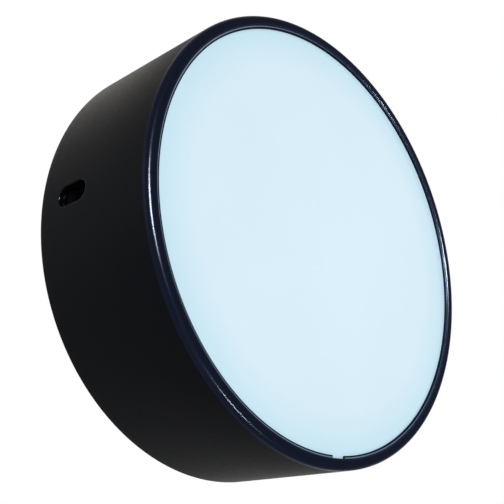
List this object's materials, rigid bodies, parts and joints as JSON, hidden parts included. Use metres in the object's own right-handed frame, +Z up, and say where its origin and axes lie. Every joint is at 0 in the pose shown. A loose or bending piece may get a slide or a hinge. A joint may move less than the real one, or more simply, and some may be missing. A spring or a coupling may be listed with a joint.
{
  "type": "soffit downlight",
  "caption": "Round black surface-mounted soffit downlight: a drum with a flush opal diffuser that hangs on sprung latches inside a sealed mounting plate.",
  "frame": {"origin": "centre of the mounting plate's top face, on the soffit", "axes": "+Z up into the soffit, light shines towards -Z; the two latches and release slots lie on -Y and +Y"},
  "size_m": [0.18, 0.18, 0.062],
  "materials": {
    "black_powder_coat": "satin black powder coat, smooth",
    "black_spring_steel": "blackened spring steel, semi-gloss",
    "opal_acrylic": "opal acrylic, smooth, lit from behind",
    "galvanised_steel": "zinc plated, pressed",
    "black_steel": "zinc plated and blackened, pressed, half matt",
    "bright_steel": "zinc plated, turned or rolled",
    "foam": "closed-cell foam, matt",
    "grommet_rubber": "moulded rubber, matt",
    "brass": "turned brass",
    "black_acetal": "moulded acetal, semi-gloss",
    "white_silicone": "cut silicone sheet, matt",
    "white_sheet": "white reflector sheet, matt",
    "white_board": "white solder mask on an aluminium board",
    "led_phosphor": "yellow phosphor under clear resin",
    "white_nylon": "moulded nylon",
    "heat_pad": "silicone heat pad, matt",
    "bare_aluminium": "bare rolled aluminium",
    "case_plastic": "moulded plastic, fine texture",
    "green_board": "green solder mask",
    "ferrite": "sintered ferrite, matt",
    "winding_tape": "polyester tape, glossy",
    "capacitor_sleeve": "shrunk sleeve, glossy",
    "black_resin": "moulded resin, matt",
    "tinned_copper": "tinned",
    "brown_pvc": "extruded insulation",
    "blue_pvc": "extruded insulation",
    "green_yellow_pvc": "extruded insulation",
    "red_pvc": "extruded insulation",
    "black_pvc": "extruded insulation"
  },
  "bodies": {
    "ceiling_side": {"mounting_plate": "galvanised_steel", "soffit_gasket": "foam", "cable_grommet": "grommet_rubber", "earth_stud": "brass", "earth_nut": "brass", "latch_bracket_1": "black_steel", "latch_bracket_2": "black_steel", "bracket_rivets": "bright_steel", "latch_spring_1": "bright_steel", "latch_spring_2": "bright_steel"},
    "lamp": {"drum_housing": "black_powder_coat", "retaining_ring": "black_spring_steel", "diffuser": "opal_acrylic", "diffuser_seal": "white_silicone", "reflector_cup": "white_sheet", "led_board": "white_board", "led_chips": "led_phosphor", "led_connector": "white_nylon", "board_screws": "bright_steel", "thermal_pad": "heat_pad", "heat_tray": "bare_aluminium", "tray_screws": "bright_steel", "driver_base": "case_plastic", "driver_cover": "case_plastic", "driver_circuit_board": "green_board", "driver_transformer": "ferrite", "transformer_winding": "winding_tape", "driver_capacitors": "capacitor_sleeve", "driver_choke": "ferrite", "driver_chips": "black_resin", "driver_screws": "bright_steel", "terminal_block": "white_nylon", "terminal_clamps": "brass", "terminal_screws": "bright_steel", "block_screws": "bright_steel", "earth_tag": "tinned_copper", "earth_screw": "brass", "live_lead": "brown_pvc", "neutral_lead": "blue_pvc", "earth_lead": "green_yellow_pvc", "led_lead_positive": "red_pvc", "led_lead_negative": "black_pvc"},
    "latch_1": {"latch_bolt_1": "black_acetal", "latch_clip_1": "bright_steel"},
    "latch_2": {"latch_bolt_2": "black_acetal", "latch_clip_2": "bright_steel"}
  },
  "joints": [
    {"name": "lamp_lift", "type": "slide", "parent": "ceiling_side", "child": "lamp", "axis": [0, 0, 1], "range_m": [0, 0.0017]},
    {"name": "latch_1_press", "type": "slide", "parent": "ceiling_side", "child": "latch_1", "axis": [0, 1, 0], "range_m": [0, 0.0032], "stiffness_N_per_m": 500, "springref_m": -0.002, "deforming": ["latch_spring_1"]},
    {"name": "latch_2_press", "type": "slide", "parent": "ceiling_side", "child": "latch_2", "axis": [0, -1, 0], "range_m": [0, 0.0032], "stiffness_N_per_m": 500, "springref_m": -0.002, "deforming": ["latch_spring_2"]}
  ]
}
